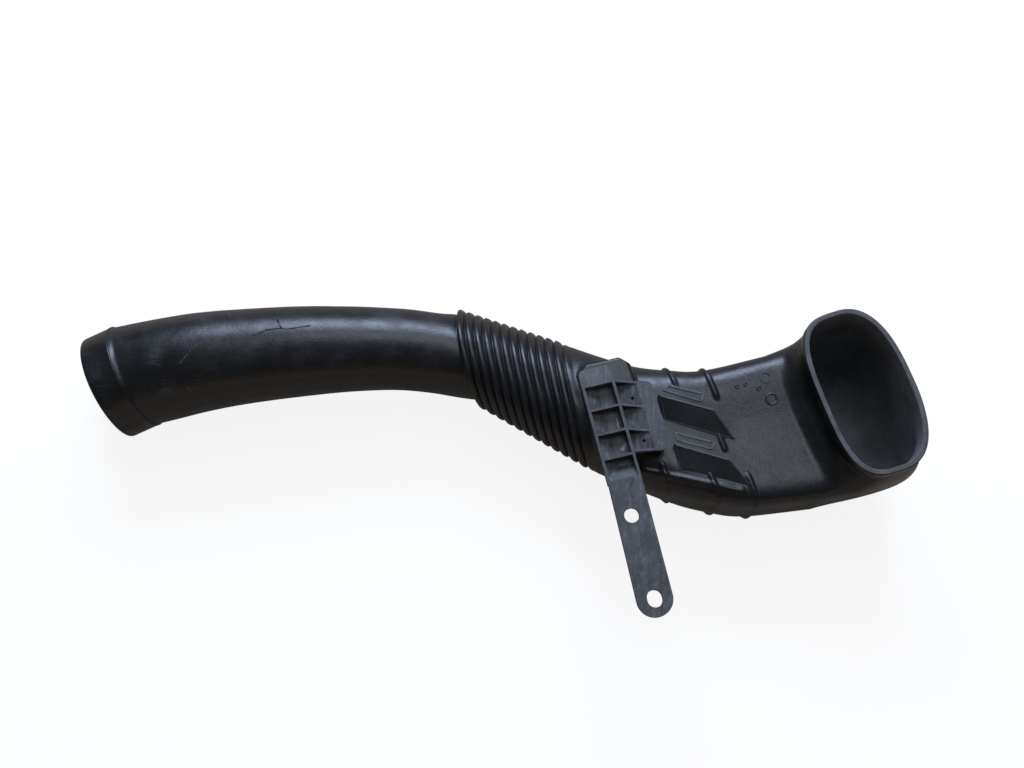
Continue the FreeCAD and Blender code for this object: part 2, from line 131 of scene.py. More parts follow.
class NodeBook:
    """The nodes of one material, added by kind, settings and inputs."""

    def __init__(self, name: str) -> None:
        """Starts an empty material.

        Args:
            name: The material's name.
        """
        self.material = bpy.data.materials.new(name)
        self.material.use_nodes = True
        self.tree = self.material.node_tree
        self.tree.nodes.clear()
        self.place = self.node("ShaderNodeTexCoord").outputs["Object"]
        self.wiggled = self.place

    def node(
        self, kind: str, settings: Optional[dict[str, Any]] = None, inputs: Optional[dict[Any, Any]] = None
    ) -> bpy.types.Node:
        """Adds a node.

        Args:
            kind: The node's type.
            settings: Values set on the node itself, first of all.
            inputs: Links or values for its sockets, by name or number.

        Returns:
            The new node.
        """
        node = self.tree.nodes.new(kind)
        for key, value in (settings or {}).items():
            setattr(node, key, value)
        for key, value in (inputs or {}).items():
            socket = node.inputs[key]
            if isinstance(value, Value):
                value = value.socket
            if isinstance(value, Socket):
                self.tree.links.new(value, socket)
            else:
                socket.default_value = value
        return node

    def math(self, operation: str, *values: Term, clamp: bool = False) -> Value:
        """Adds a Math node.

        Args:
            operation: The node's operation.
            values: Its inputs in order.
            clamp: Whether the result is held between 0 and 1.

        Returns:
            The node's result.
        """
        settings = {"operation": operation, "use_clamp": clamp}
        node = self.node("ShaderNodeMath", settings, dict(enumerate(values)))
        return Value(self, node.outputs[0])

    def vector(self, operation: str, result: str, *values: Any, scale: Optional[Term] = None) -> Any:
        """Adds a Vector Math node.

        Args:
            operation: The node's operation.
            result: Name of the output that is read.
            values: Its vector inputs in order.
            scale: The factor of a SCALE operation.

        Returns:
            A Value for the number outputs, or the vector socket.
        """
        inputs: dict[Any, Any] = dict(enumerate(values))
        if scale is not None:
            inputs["Scale"] = scale
        node = self.node("ShaderNodeVectorMath", {"operation": operation}, inputs)
        socket = node.outputs[result]
        return Value(self, socket) if result == "Value" else socket

    def wiggle(self, scale: float, reach: float) -> None:
        """Pushes the coordinates of marks about by noise.

        Args:
            scale: Waves to a metre.
            reach: How far a point is pushed, in metres.
        """
        swirl = self.node("ShaderNodeTexNoise", {}, {"Vector": self.place, "Scale": scale, "Detail": 2.0})
        centred = self.vector("SUBTRACT", "Vector", swirl.outputs["Color"], (0.5, 0.5, 0.5))
        pushed = self.vector("SCALE", "Vector", centred, scale=2.0 * reach)
        self.wiggled = self.vector("ADD", "Vector", self.place, pushed)

    def blend(self, factor: Term, first: Any, second: Any) -> Socket:
        """Mixes two colours.

        Args:
            factor: Share of the second colour.
            first: Colour or socket at 0.
            second: Colour or socket at 1.

        Returns:
            The colour socket.
        """
        colours = {MIX_FIRST: first, MIX_SECOND: second}
        for key, colour in colours.items():
            if isinstance(colour, tuple) and len(colour) == 3:
                colours[key] = (*colour, 1.0)
        node = self.node("ShaderNodeMix", {"data_type": "RGBA"}, {0: factor, **colours})
        return node.outputs[MIX_RESULT]

    def bump(self, height: Value, strength: float, distance: float, under: Any = None) -> Socket:
        """Adds relief to the shading.

        Args:
            height: The relief, from 0 to 1.
            strength: How much of it shows.
            distance: Its depth in metres.
            under: Normal of an earlier bump.

        Returns:
            The normal socket.
        """
        inputs = {"Height": height, "Strength": strength, "Distance": distance}
        if under is not None:
            inputs["Normal"] = under
        return self.node("ShaderNodeBump", {}, inputs).outputs["Normal"]

    def plastic(
        self, colour: Socket, roughness: Value, relief: Socket, ior: float, specular: float = 0.5
    ) -> bpy.types.Material:
        """Ends the material in one Principled surface.

        Args:
            colour: Its colour.
            roughness: Its roughness.
            relief: Normal of its last bump.
            ior: Its index of refraction.
            specular: Strength of its sheen.

        Returns:
            The finished material.
        """
        inputs = {"Base Color": colour, "Roughness": roughness, "Normal": relief}
        inputs.update({"IOR": ior, "Specular IOR Level": specular})
        return self.finish(self.node("ShaderNodeBsdfPrincipled", {}, inputs))

    def finish(self, surface: bpy.types.Node) -> bpy.types.Material:
        """Connects the last shader to the output and gives the material."""
        self.node("ShaderNodeOutputMaterial", {}, {"Surface": surface.outputs[0]})
        return self.material


@dataclass(frozen=True)
class Grain:
    """A layer of cloudy noise, with its waves to a metre; a stretch draws it out, turned by some degrees."""

    scale: float
    detail: float
    roughness: float
    distortion: float = 0.0
    stretch: Optional[Point] = None
    turn: float = 0.0

    def value(self, book: NodeBook) -> Value:
        """Adds the layer to a material.

        Args:
            book: The material's nodes.

        Returns:
            The noise, from 0 to 1.
        """
        where = book.place
        if self.stretch:
            turned = (0.0, 0.0, math.radians(self.turn))
            mapping = {"Vector": where, "Rotation": turned, "Scale": self.stretch}
            where = book.node("ShaderNodeMapping", {}, mapping).outputs["Vector"]
        inputs = {"Vector": where, "Scale": self.scale, "Detail": self.detail}
        inputs.update({"Roughness": self.roughness, "Distortion": self.distortion})
        return Value(book, book.node("ShaderNodeTexNoise", {}, inputs).outputs["Fac"])


@dataclass(frozen=True)
class Stroke:
    """A thin line through points in millimetres, rubbed or cut into the plastic; the bracket's glints use it
    as a painted highlight.
    """

    points: tuple[Point, ...]
    half_width: float

    def mask(self, book: NodeBook) -> Value:
        """Share of the stroke at each place.

        Args:
            book: The material's nodes.

        Returns:
            A mask, 1 on the line.
        """
        shares = []
        for start, end in zip(self.points, self.points[1:]):
            first = placed(start)
            run = placed(end) - first
            away = book.vector("SUBTRACT", "Vector", book.wiggled, tuple(first))
            along = book.vector("DOT_PRODUCT", "Value", away, tuple(run / run.length_squared)).held()
            foot = book.vector("SCALE", "Vector", tuple(run), scale=along)
            distance = book.vector("DISTANCE", "Value", away, foot)
            shares.append(distance.step(self.half_width * MM, 0.0))
        return reduce(Value.largest, shares)


@dataclass(frozen=True)
class Patch:
    """A rubbed patch round a point in millimetres."""

    centre: Point
    radius: float
    strength: float

    def mask(self, book: NodeBook) -> Value:
        """Share of the patch at each place, highest at its centre."""
        distance = book.vector("DISTANCE", "Value", book.wiggled, tuple(placed(self.centre)))
        return distance.step(self.radius * MM, 0.0) * self.strength


def together(book: NodeBook, marks: Iterable[Union[Stroke, Patch]]) -> Value:
    """Largest of several marks' masks."""
    return reduce(Value.largest, [mark.mask(book) for mark in marks])


# Finishes


@dataclass(frozen=True)
class BlownPlastic:
    """Charcoal blow-moulded plastic with a soft sheen, rubbed and scratched in use."""

    name: str = "blown_charcoal_plastic"
    dark: Point = (0.0072, 0.0081, 0.0097)
    pale: Point = (0.0155, 0.017, 0.0198)
    bloom: Point = (0.036, 0.039, 0.045)
    rubbed: Point = (0.085, 0.09, 0.098)
    scored: Point = (0.004, 0.004, 0.005)
    wiggle_scale: float = 220.0
    wiggle_reach: float = 0.0006
    broad: Grain = Grain(14.0, 4.0, 0.6, 0.4)
    cloudy: Grain = Grain(60.0, 5.0, 0.62)
    speckle: Grain = Grain(620.0, 3.0, 0.6)
    hairs: Grain = Grain(1.0, 3.0, 0.6, 0.6, (70.0, 950.0, 500.0), 8.0)
    crossing: Grain = Grain(1.0, 2.0, 0.5, 0.4, (900.0, 60.0, 300.0), 31.0)
    ior: float = 1.47
    specular: float = 0.56
    patches: tuple[Patch, ...] = (
        Patch((-254.2, 5.1, 82.3), 13.0, 0.75),
        Patch((-249.4, -14.5, 73.1), 15.0, 1.0),
        Patch((-269.2, 25.9, 77.1), 13.0, 0.8),
        Patch((-294.9, -14.7, 76.2), 14.0, 0.7),
        Patch((-150.6, -0.8, 72.8), 13.0, 0.7),
        Patch((-166.8, -1.4, 74.6), 11.0, 0.6),
        Patch((-213.8, -12.7, 69.8), 8.0, 0.9),
        Patch((-224.5, -6.1, 77.5), 7.0, 0.8),
    )
    scratches: tuple[Stroke, ...] = (
        Stroke(((-230.0, 10.6, 83.8), (-236.8, 2.1, 82.2)), 0.8),
        Stroke(((-245.4, 20.1, 82.7), (-225.3, 15.5, 84.0), (-230.0, 10.6, 83.8)), 0.5),
        Stroke(((-233.2, -12.4, 73.5), (-230.1, -16.5, 68.2)), 0.9),
        Stroke(((-210.6, 46.9, 68.4), (-204.6, 40.1, 76.2)), 0.7),
    )
    cracks: tuple[Stroke, ...] = (
        Stroke(((-185.8, 22.1, 83.5), (-176.9, 26.9, 82.8), (-166.3, 28.3, 82.2)), 0.7),
        Stroke(((-170.2, 36.1, 79.6), (-166.3, 28.3, 82.2), (-161.3, 27.5, 82.1), (-145.8, 31.1, 80.8)), 0.7),
    )

    def material(self) -> bpy.types.Material:
        """Builds the finish.

        Returns:
            The material.
        """
        book = NodeBook(self.name)
        book.wiggle(self.wiggle_scale, self.wiggle_reach)
        layers = (self.broad, self.cloudy, self.speckle, self.hairs, self.crossing)
        broad, cloudy, speckle, hairs, crossing = (layer.value(book) for layer in layers)
        streaky = (hairs * 0.55 + cloudy * 0.45).step(0.46, 0.66)
        rubbing = together(book, self.patches) * streaky * (0.35 + speckle * 0.65)
        bloomed = (broad * 0.5 + cloudy * 0.3 + hairs * 0.2).step(0.5, 0.72)
        hair_lines = (hairs.step(0.66, 0.78) + crossing.step(0.7, 0.8)).held() * cloudy.step(0.45, 0.7)
        scratched = together(book, self.scratches)
        cracked = together(book, self.cracks)
        dusty = (speckle * 0.5 + cloudy * 0.5).step(0.58, 0.72)
        wear = rubbing.largest(scratched * 0.8).largest(hair_lines * 0.35).largest(dusty * 0.3).held()
        tone = (broad * 0.4 + cloudy * 0.4 + speckle * 0.2).step(0.34, 0.66)
        colour = book.blend(tone, self.dark, self.pale)
        colour = book.blend(bloomed * 0.7, colour, self.bloom)
        colour = book.blend(wear, colour, self.rubbed)
        colour = book.blend(cracked * 0.9, colour, self.scored)
        roughness = 0.22 + cloudy * 0.26 + bloomed * 0.14 + wear * 0.3 + cracked * 0.3
        relief = book.bump(speckle, 0.3, 0.0003)
        relief = book.bump(cloudy, 0.3, 0.0014, relief)
        relief = book.bump(1.0 - cracked, 0.7, 0.0006, relief)
        return book.plastic(colour, roughness, relief, self.ior, self.specular)


# Pad tops: the duct's plastic painted paler, as painted light that makes up for the dark side their tilted
# tops reflect.
PAINTED_LIGHTER_PAD_TOP = BlownPlastic("pad_top_plastic", (0.015, 0.0168, 0.02), (0.027, 0.03, 0.035))
# Rims of the pads and frames: a pale painted edge highlight, the bright line where a raised edge catches
# light.
PAINTED_EDGE_HIGHLIGHT = BlownPlastic("worn_edge_plastic", (0.036, 0.039, 0.045), (0.08, 0.086, 0.095))


@dataclass(frozen=True)
class CutLip:
    """Trimmed flat lip of the mouth, paler than the blown skin."""

    name: str = "trimmed_lip_plastic"
    dark: Point = (0.062, 0.063, 0.066)
    pale: Point = (0.135, 0.136, 0.139)
    cloudy: Grain = Grain(90.0, 4.0, 0.6)
    grain: Grain = Grain(1500.0, 3.0, 0.6)
    marks: Grain = Grain(1.0, 3.0, 0.6, 0.5, (900.0, 160.0, 400.0), -18.0)
    ior: float = 1.48

    def material(self) -> bpy.types.Material:
        """Builds the finish.

        Returns:
            The material.
        """
        book = NodeBook(self.name)
        cloudy, grain, marks = (layer.value(book) for layer in (self.cloudy, self.grain, self.marks))
        tone = (cloudy * 0.6 + marks * 0.4).step(0.3, 0.7)
        colour = book.blend(tone, self.dark, self.pale)
        relief = book.bump(grain * 0.5 + marks * 0.5, 0.3, 0.0003)
        return book.plastic(colour, 0.55 + cloudy * 0.15, relief, self.ior)


@dataclass(frozen=True)
class BlownInside:
    """Dull inner skin of the blown wall, painted far paler than the outside as painted light that lifts the
    shade inside the duct.
    """

    name: str = "dull_inner_plastic"
    # Painted light: the same charcoal plastic, painted paler only to lift the shade inside.
    dark: Point = (0.13, 0.132, 0.138)
    pale: Point = (0.25, 0.255, 0.265)
    cloudy: Grain = Grain(45.0, 5.0, 0.6)
    grain: Grain = Grain(900.0, 4.0, 0.65)
    ior: float = 1.45

    def material(self) -> bpy.types.Material:
        """Builds the finish.

        Returns:
            The material.
        """
        book = NodeBook(self.name)
        cloudy, grain = self.cloudy.value(book), self.grain.value(book)
        tone = (cloudy * 0.55 + grain * 0.45).step(0.3, 0.72)
        colour = book.blend(tone, self.dark, self.pale)
        relief = book.bump(grain, 0.35, 0.0006)
        return book.plastic(colour, 0.68 + grain * 0.2, relief, self.ior)


@dataclass(frozen=True)
class MouldedGrey:
    """Grey injection-moulded plastic, streaked and a little chalky."""

    name: str = "streaked_grey_plastic"
    dark: Point = (0.041, 0.043, 0.047)
    pale: Point = (0.102, 0.106, 0.113)
    chalk: Point = (0.27, 0.275, 0.28)
    # Painted highlight: the pale colour of the glints where the trough floor beside the middle rail reflects
    # the light.
    painted_glint: Point = (0.5, 0.51, 0.53)
    scored: Point = (0.012, 0.013, 0.015)
    wiggle_scale: float = 260.0
    wiggle_reach: float = 0.0009
    cloudy: Grain = Grain(70.0, 5.0, 0.62, 0.5)
    mottled: Grain = Grain(260.0, 4.0, 0.62)
    grain: Grain = Grain(1300.0, 3.0, 0.6)
    streaks: Grain = Grain(1.0, 4.0, 0.6, 0.7, (480.0, 60.0, 300.0), -13.7)
    ior: float = 1.5
    # Strokes of the painted glints beside the middle rail.
    glints: tuple[Stroke, ...] = (
        Stroke(((74.0, -38.1, 78.0), (75.0, -44.3, 78.0)), 1.3),
        Stroke(((77.6, -60.0, 78.0), (79.4, -56.5, 78.0)), 2.4),
    )
    cracks: tuple[Stroke, ...] = (
        Stroke(((83.3, -82.3, 86.0), (80.3, -90.7, 86.0), (82.8, -96.3, 86.0)), 0.7),
    )
    chalked: tuple[Patch, ...] = (
        Patch((58.5, -7.5, 86.0), 22.0, 1.0),
        Patch((85.0, -116.0, 86.0), 12.0, 0.4),
        Patch((93.0, -44.0, 84.0), 16.0, 0.5),
    )

    def material(self) -> bpy.types.Material:
        """Builds the finish.

        Returns:
            The material.
        """
        book = NodeBook(self.name)
        book.wiggle(self.wiggle_scale, self.wiggle_reach)
        layers = (self.cloudy, self.mottled, self.grain, self.streaks)
        cloudy, mottled, grain, streaks = (layer.value(book) for layer in layers)
        tone = (cloudy * 0.45 + streaks * 0.35 + mottled * 0.2).step(0.34, 0.66)
        rubbed = together(book, self.chalked)
        flaky = (streaks * 0.5 + mottled * 0.5).step(0.5, 0.7)
        chalky = (flaky * (0.4 + rubbed * 0.4) + rubbed * 0.25).held()
        colour = book.blend(tone, self.dark, self.pale)
        colour = book.blend(chalky, colour, self.chalk)
        colour = book.blend(together(book, self.cracks) * 0.8, colour, self.scored)
        # Painted highlight: the glints mixed in pale over the plastic.
        glinting = together(book, self.glints).step(0.2, 0.8)
        colour = book.blend(glinting * mottled, colour, self.painted_glint)
        roughness = 0.5 + mottled * 0.14 + chalky * 0.3
        relief = book.bump(grain, 0.22, 0.0003)
        relief = book.bump(streaks, 0.12, 0.0008, relief)
        return book.plastic(colour, roughness, relief, self.ior)


@dataclass(frozen=True)
class WhiteTable:
    """Plain white table that keeps the part's soft shadow."""

    name: str = "white_table"
    seen_colour: Point = (0.96, 0.96, 0.96)
    bounced_colour: Point = (0.42, 0.32, 0.23)
    own_white: float = 0.8
    glossy_share: float = 0.1
    glow: float = 1.1

    def material(self) -> bpy.types.Material:
        """Builds the finish.

        Returns:
            The material.
        """
        book = NodeBook(self.name)
        path = book.node("ShaderNodeLightPath")
        faced = Value(book, path.outputs["Is Camera Ray"])
        seen = faced.largest(Value(book, path.outputs["Is Transmission Ray"]))
        seen = seen.largest(Value(book, path.outputs["Is Glossy Ray"]) * self.glossy_share)
        lit = book.blend(faced, self.bounced_colour, self.seen_colour)
        matte = book.node("ShaderNodeBsdfDiffuse", {}, {"Color": lit})
        white = book.node("ShaderNodeEmission", {}, {"Color": (1.0, 1.0, 1.0, 1.0), "Strength": self.glow})
        shaders = {0: seen * self.own_white, 1: matte.outputs[0], 2: white.outputs[0]}
        mixed = book.node("ShaderNodeMixShader", {}, shaders)
        return book.finish(mixed)


# Part


@dataclass(frozen=True)
class Station:
    """A cross-section of the duct, in millimetres and degrees."""

    at: Point
    yaw: float
    pitch: float
    half_width: float
    half_height: float
    top_power: float = 2.0
    bottom_power: float = 2.0
    near_power: float = 2.0
    hollow: float = 0.0

    def numbers(self) -> list[float]:
        """The station as one list of numbers."""
        at, *others = astuple(self)
        return [*at, *others]

    @staticmethod
    def of(numbers: Sequence[float]) -> "Station":
        """The station that a list of numbers describes."""
        return Station(tuple(numbers[:3]), *numbers[3:])

    def directions(self) -> tuple[Vector, Vector, Vector]:
        """Run, across and upward directions.

        Returns:
            Three unit vectors.
        """
        yaw, pitch = math.radians(self.yaw), math.radians(self.pitch)
        run = Vector((math.cos(pitch) * math.cos(yaw), math.cos(pitch) * math.sin(yaw), math.sin(pitch)))
        across = Vector((-math.sin(yaw), math.cos(yaw), 0.0))
        return run, across, run.cross(across)

    def moved(self, ahead: float) -> "Station":
        """The station moved ahead along its run."""
        return replace(self, at=tuple(Vector(self.at) + self.directions()[0] * ahead))

    def resized(self, grown: float) -> "Station":
        """The station grown outward all round."""
        return replace(self, half_width=self.half_width + grown, half_height=self.half_height + grown)


def between(first: Station, second: Station, share: float) -> Station:
    """Station part of the way from one to another."""
    return Station.of([a + (b - a) * share for a, b in zip(first.numbers(), second.numbers())])


def smooth_run(stations: Sequence[Station], place: float) -> Station:
    """Station on a smooth run through others.

    Args:
        stations: The stations that the run goes through.
        place: Place on it, counted in stations.

    Returns:
        The station there.
    """
    last = len(stations) - 1
    number = min(int(place), last - 1)
    share = place - number
    rows = [stations[min(max(number + step, 0), last)].numbers() for step in (-1, 0, 1, 2)]
    result = []
    for a, b, c, d in zip(*rows):
        bend = (2 * a - 5 * b + 4 * c - d) * share**2 + (3 * b - a - 3 * c + d) * share**3
        result.append(b + ((c - a) * share + bend) * 0.5)
    return Station.of(result)


@dataclass(frozen=True)
class Row:
    """One ring of the duct's skin."""

    station: Station
    zone: Zone = Zone.OUTSIDE
    carries_relief: bool = False
    bead: float = 0.0
    bead_far_end: float = 0.0


def rings(station: Station, profile: Profile, zone: Zone = Zone.OUTSIDE) -> list[Row]:
    """Rings along a station's run, each grown and moved ahead as the profile says."""
    return [Row(station.moved(ahead).resized(grown), zone) for grown, ahead in profile]


@dataclass(frozen=True)
class WedgePad:
    """Raised pad on the duct's back, high along its first edge and flush at its near side."""

    corners: tuple[Plan, ...]
    far_height: float
    near_height: float
    span: float
    softness: float = 0.9

    @staticmethod
    def away(side: Sequence[Plan], x: float, y: float) -> float:
        """Distance of a place from a side's line, above 0 on its right."""
        (ax, ay), (bx, by) = side
        return ((by - ay) * (x - ax) - (bx - ax) * (y - ay)) / math.hypot(bx - ax, by - ay)

    def inside(self, x: float, y: float) -> float:
        """Distance of a place inside the pad's outline, below 0 outside it."""
        return min(self.away(side, x, y) for side in zip(self.corners, self.corners[1:] + self.corners[:1]))

    def top(self, x: float, y: float) -> float:
        """Height of the pad's top over a place."""
        fall = (self.near_height - self.far_height) * self.away(self.corners[:2], x, y)
        return self.far_height + fall / self.span

    def lift(self, point: Vector) -> float:
        """How far the pad lifts a point of the skin, in millimetres."""
        share = smoothstep(-self.softness, self.softness, self.inside(point.x, point.y))
        return max(0.0, self.top(point.x, point.y) - point.z) * share if share else 0.0


@dataclass(frozen=True)
class Ledge:
    """Low raised bar along a line on the duct's back."""

    start: Plan
    end: Plan
    half_width: float
    height: float
    flat_share: float = 0.45

    def lift(self, point: Vector) -> float:
        """How far the bar lifts a point of the skin.

        Args:
            point: The point in millimetres.

        Returns:
            The lift in millimetres.
        """
        start, run = Vector(self.start), Vector(self.end) - Vector(self.start)
        away = point.xy - start
        along = min(max(away.dot(run) / run.length_squared, 0.0), 1.0)
        distance = (away - run * along).length
        return self.height * smoothstep(self.half_width, self.half_width * self.flat_share, distance)


@dataclass(frozen=True)
class Duct:
    """The blown duct, skinned in rings from the cuff over the outside to the mouth and back inside."""

    columns: int = 208
    crowding: float = 0.35
    wall: float = 2.5
    weld: float = 1e-7
    waviness: float = 0.28
    wave_rest: float = 0.75
    broad_wave: float = 0.021
    fine_wave: float = 0.05
    fine_share: float = 0.5
    cuff_end: Station = Station((-300.9, -2.7, 37.908), 23.0, 8.0, 40.3, 40.3)
    cuff_length: float = 21.7
    cuff_step: float = 0.7
    cuff_profile: Profile = (
        (-1.25, 0.0), (-0.5, 0.0), (-0.14, 0.16), (0.0, 0.6), (0.0, 6.0), (0.0, 12.0),
        (0.0, 19.8), (0.3, 20.5), (0.34, 21.1), (-0.1, 21.5), (-0.7, 21.7),
    )
    bore_profile: Profile = ((-2.5, 12.0), (-2.5, 0.6), (-2.36, 0.16), (-2.0, 0.0))
    ridge_count: int = 13
    ridge_height: float = 3.0
    last_ridge_drop: float = 1.2
    ridge_flatness: float = 2.4
    ridge_sharpness: float = 0.7
    ridge_places: tuple[float, ...] = (0.0, 0.06, 0.14, 0.25, 0.38, 0.5, 0.62, 0.75, 0.86, 0.94)
    inner_ridge_places: tuple[float, ...] = (0.0, 0.25, 0.5, 0.75)
    tube_end_drop: float = 5.2
    body_start_drop: float = 1.4
    first_ridge: Station = Station((-29.6, 18.3, 41.0), 10.0, 10.0, 38.6, 37.2)
    last_ridge: Station = Station((43.88, -15.8, 39.57), 10.0, 10.0, 48.8, 36.6)
    tube: tuple[Station, ...] = (
        Station((-233.0, 14.0, 47.0), 9.5, 4.0, 37.3, 37.3),
        Station((-196.0, 18.6, 48.5), 6.0, 1.5, 35.5, 35.5),
        Station((-158.5, 22.0, 48.8), 4.3, -0.5, 33.9, 33.9),
        Station((-121.0, 24.3, 48.0), 2.0, -2.0, 32.1, 32.1),
        Station((-84.0, 24.6, 46.0), -2.5, -3.0, 30.8, 30.8),
        Station((-54.0, 22.0, 43.6), -5.0, -1.0, 30.4, 30.4),
    )
    tube_steps: int = 54
    inner_tube_steps: int = 18
    body: tuple[Station, ...] = (
        Station((99.0, -38.0, 38.0), 15.0, 3.0, 51.5, 36.8, 2.8, 2.7, 4.4, 1.2),
        Station((128.5, -45.0, 37.5), 18.0, 0.0, 53.6, 37.5, 3.8, 3.0, 7.5, 2.2),
        Station((155.0, -47.0, 37.5), 18.0, 0.0, 54.2, 37.5, 4.8, 3.2, 9.0, 2.6),
        Station((201.4, -39.3, 37.5), 18.0, 0.0, 57.0, 37.5, 5.6, 3.0, 9.5, 2.8),
    )
    body_stretches: tuple[tuple[float, float, int], ...] = (
        (0.0, 1.0, 26), (1.0, 2.0, 28), (2.0, 3.0, 26), (3.0, 3.5, 20), (3.5, 4.0, 12),
    )
    inner_body_steps: int = 16
    bead_height: float = 1.9
    bead_half_width: float = 2.2
    bead_flat_share: float = 0.25
    bead_near_end: float = -0.62
    bead_far_ends: tuple[float, ...] = (0.9, 0.7, 0.54)
    bead_fade: float = 0.08
    hollow_reach: float = 0.85
    hollow_end: float = 40.0
    elbow_steps: int = 24
    inner_elbow_steps: int = 12
    elbow_inner_radius: float = 14.0
    elbow_squareness: float = 5.0
    elbow_corner_power: float = 2.4
    elbow_bulge: float = 2.3
    elbow_lateness: float = 1.6
    mouth_lean: float = 1.5
    neck_half_width: float = 59.0
    neck_half_length: float = 32.4
    mouth_inner_power: float = 3.2
    mouth_outer_power: float = 2.5
    lip_height: float = 103.0
    collar_profile: Profile = (
        (0.0, -10.0), (0.55, -9.7), (1.3, -9.4), (1.5, -8.8),
        (1.5, -5.0), (1.5, -0.9), (1.35, -0.3), (0.9, 0.0),
    )
    lip_profile: Profile = ((0.0, 0.0), (-1.2, 0.0), (-2.1, 0.0))
    throat_profile: Profile = ((-2.4, -0.14), (-2.5, -0.5), (-2.5, -4.0), (-2.5, -9.0))
    platform: WedgePad = WedgePad(
        ((51.86, 4.0), (77.12, 10.16), (85.58, 5.01), (100.5, -56.19), (62.61, -65.43), (47.69, -4.22)),
        75.8, 75.8, 70.0, 1.6,
    )
    ledges: tuple[Ledge, ...] = (
        Ledge((92.9, -73.9), (160.9, -89.2), 2.6, 1.6),
        Ledge((145.6, -44.5), (150.0, -59.0), 1.9, 1.6),
    )

    def ridge(self, number: float, grown: float) -> Station:
        """Section of the bellows by ridge number, with halves for valleys, grown by some millimetres."""
        share = (number - 1) / (self.ridge_count - 2)
        return between(self.first_ridge, self.last_ridge, share).resized(grown)

    def bellows(self, inset: float, steps: Sequence[float], zone: Zone) -> list[Row]:
        """Rings of the bellows, ridge by ridge.

        Args:
            inset: How far inside the outer skin they lie.
            steps: Places between one valley and the next.
            zone: The wall's side.

        Returns:
            The rings from the tube to the body.
        """
        valleys = [self.tube_end()]
        valleys += [self.ridge(number + 0.5, -self.ridge_height) for number in range(1, self.ridge_count)]
        valleys += [self.body_start()]
        crests = [self.ridge(number, 0.0) for number in range(1, self.ridge_count)]
        crests += [self.ridge(self.ridge_count, -self.last_ridge_drop)]
        rows = []
        for before, crest, after in zip(valleys, crests, valleys[1:]):
            for share in steps:
                plain = between(before, after, share)
                fullness = 1.0 - abs(2.0 * share - 1.0) ** self.ridge_flatness
                fullness = fullness**self.ridge_sharpness
                wider = (crest.half_width - plain.half_width) * fullness - inset
                higher = (crest.half_height - plain.half_height) * fullness - inset
                sizes = {"half_width": plain.half_width + wider, "half_height": plain.half_height + higher}
                rows.append(Row(replace(plain, **sizes), zone))
        return rows

    def tube_end(self) -> Station:
        """Section where the tube meets the first ridge."""
        return self.ridge(0.5, -self.tube_end_drop)

    def body_start(self) -> Station:
        """Section where the last ridge meets the body."""
        return self.ridge(self.ridge_count + 0.5, -self.body_start_drop)

    def elbow(self, turn: float) -> Station:
        """Section of the elbow, fanned about its inner corner and bulging on its near side.

        Args:
            turn: Degrees turned from the body's run.

        Returns:
            The station.
        """
        start = self.body[-1]
        share = turn / RIGHT_ANGLE
        angle = math.radians(turn)
        below = math.cos(angle) / (self.elbow_inner_radius + 2.0 * start.half_height)
        beyond = math.sin(angle) / (self.elbow_inner_radius + 2.0 * self.neck_half_length)
        power = self.elbow_squareness
        reach = (below**power + beyond**power) ** (-1.0 / power)
        half_height = (reach - self.elbow_inner_radius) / 2.0
        fullness = math.sin(math.pi * share**self.elbow_lateness)
        bulge = self.elbow_bulge * fullness
        half_width = start.half_width + (self.neck_half_width - start.half_width) * share + bulge
        outer_power = start.bottom_power + (self.mouth_outer_power - start.bottom_power) * share
        outer_power += self.elbow_corner_power * fullness
        pivot = Vector(start.at) + Vector((0.0, 0.0, start.half_height + self.elbow_inner_radius))
        _, across, upward = Station(start.at, start.yaw, turn, 1.0, 1.0).directions()
        at = pivot - upward * (self.elbow_inner_radius + half_height)
        at += across * (self.mouth_lean * share - bulge)
        far_power = start.top_power + (self.mouth_inner_power - start.top_power) * share
        near_power = start.near_power + (self.mouth_inner_power - start.near_power) * share
        hollow = start.hollow * smoothstep(self.hollow_end, 0.0, turn)
        powers = (far_power, outer_power, near_power)
        return Station(tuple(at), start.yaw, turn, half_width, half_height, *powers, hollow)

    def mouth(self) -> Station:
        """Section at the top of the lip, without the lip's own width."""
        neck = self.elbow(RIGHT_ANGLE)
        return neck.moved(self.lip_height - neck.at[2])

    def body_row(self, station: Station) -> Row:
        """Ring of the body, with its share of the nearest stiffening bead.

        Args:
            station: The plain section.

        Returns:
            The ring.
        """
        grown, far_end = 0.0, 1.0
        for bead, end in zip(self.body, self.bead_far_ends):
            distance = abs((Vector(station.at) - Vector(bead.at)).dot(bead.directions()[0]))
            if distance < self.bead_half_width:
                flat = self.bead_half_width * self.bead_flat_share
                grown = self.bead_height * smoothstep(self.bead_half_width, flat, distance)
                far_end = end
        return Row(station, carries_relief=True, bead=grown, bead_far_end=far_end)

    def bead_share(self, row: Row, sideways: float, sine: float) -> float:
        """Share of a bead's height round the section: full on the belly and sides, none on the back.

        Args:
            row: The ring.
            sideways: Place across the section, from -1 at the near side to 1 at the far side.
            sine: Above 0 on the back.

        Returns:
            A number from 0 to 1.
        """
        if sine < 0.0:
            return 1.0
        near = smoothstep(self.bead_near_end + self.bead_fade, self.bead_near_end, sideways)
        return near + smoothstep(row.bead_far_end - self.bead_fade, row.bead_far_end, sideways)

